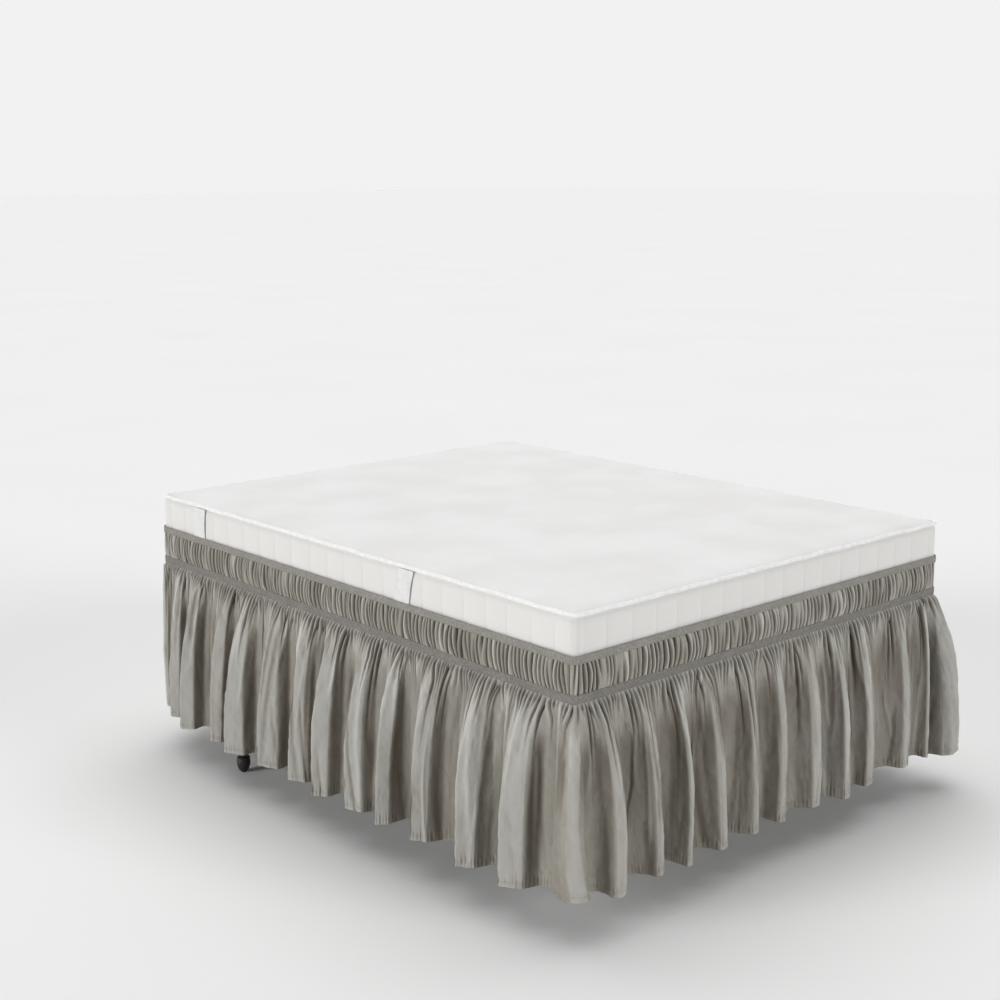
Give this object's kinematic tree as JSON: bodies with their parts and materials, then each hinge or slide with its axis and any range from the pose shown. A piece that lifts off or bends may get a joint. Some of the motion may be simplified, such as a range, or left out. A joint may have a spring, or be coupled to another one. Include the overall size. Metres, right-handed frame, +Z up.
{
  "type": "elastic ruffled bed skirt on a bed with mattress",
  "caption": "Gathered wrap-around bed skirt with a shirred heading between two elastic tapes, worn by a piped mattress on its foundation and leg frame.",
  "frame": {"origin": "on the floor under the middle of the bed", "axes": "+Z up, +Y along the bed towards its head, +X towards the long side that the picture doesn't show"},
  "size_m": [1.7486, 2.1028, 0.8477],
  "materials": {
    "skirt_cloth": "matt brushed weave",
    "skirt_tape": "matt ribbed elastic",
    "ticking": "matt knit",
    "piping_cloth": "smooth",
    "webbing": "ribbed",
    "foundation_cloth": "matt",
    "frame_steel": "satin black",
    "glide_plastic": "matt black"
  },
  "bodies": {
    "root": {"top_tape": "skirt_tape", "heading": "skirt_cloth", "lower_tape": "skirt_tape", "drop": "skirt_cloth", "mattress": "ticking", "piping": "piping_cloth", "handle_left_foot": "webbing", "handle_left_head": "webbing", "handle_right_foot": "webbing", "handle_right_head": "webbing", "foundation": "foundation_cloth", "rail_left": "frame_steel", "rail_right": "frame_steel", "crossbar_foot": "frame_steel", "crossbar_head": "frame_steel", "leg_left_foot": "frame_steel", "leg_middle_foot": "frame_steel", "leg_right_foot": "frame_steel", "leg_left_head": "frame_steel", "leg_middle_head": "frame_steel", "leg_right_head": "frame_steel", "glide_left_foot": "glide_plastic", "glide_middle_foot": "glide_plastic", "glide_right_foot": "glide_plastic", "glide_left_head": "glide_plastic", "glide_middle_head": "glide_plastic", "glide_right_head": "glide_plastic"}
  },
  "joints": []
}
